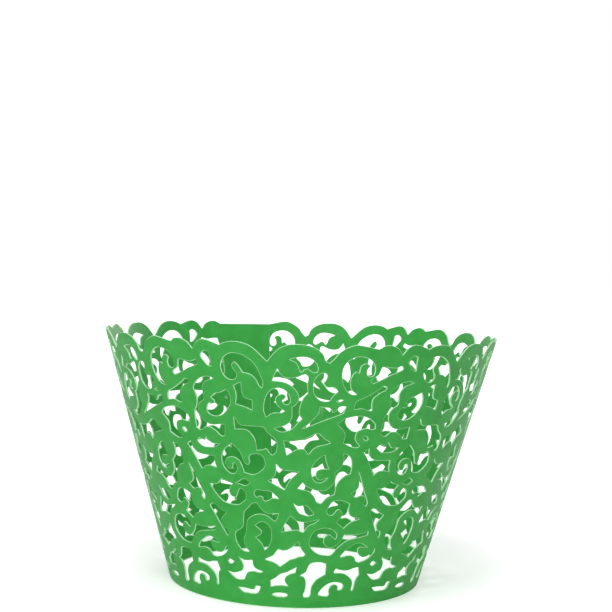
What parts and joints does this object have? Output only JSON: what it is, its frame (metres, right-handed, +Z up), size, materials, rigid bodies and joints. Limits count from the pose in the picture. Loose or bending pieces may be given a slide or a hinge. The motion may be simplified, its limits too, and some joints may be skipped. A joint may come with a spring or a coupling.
{
  "type": "cupcake wrapper",
  "caption": "Open cone of thin green card, cut through all over with a vine-scroll lace and a lobed top edge, that stands round a cupcake in its baking case.",
  "frame": {"origin": "centre of the ring that the wrapper stands on, at its base", "axes": "+Z up through the open top, -Y towards the middle of the side that faces the camera, +X to its right"},
  "size_m": [0.08, 0.0797, 0.0506],
  "materials": {
    "card": "pearl sheen on mid green card, pale cut edges"
  },
  "bodies": {
    "root": {"wrapper_card": "card"}
  },
  "joints": []
}
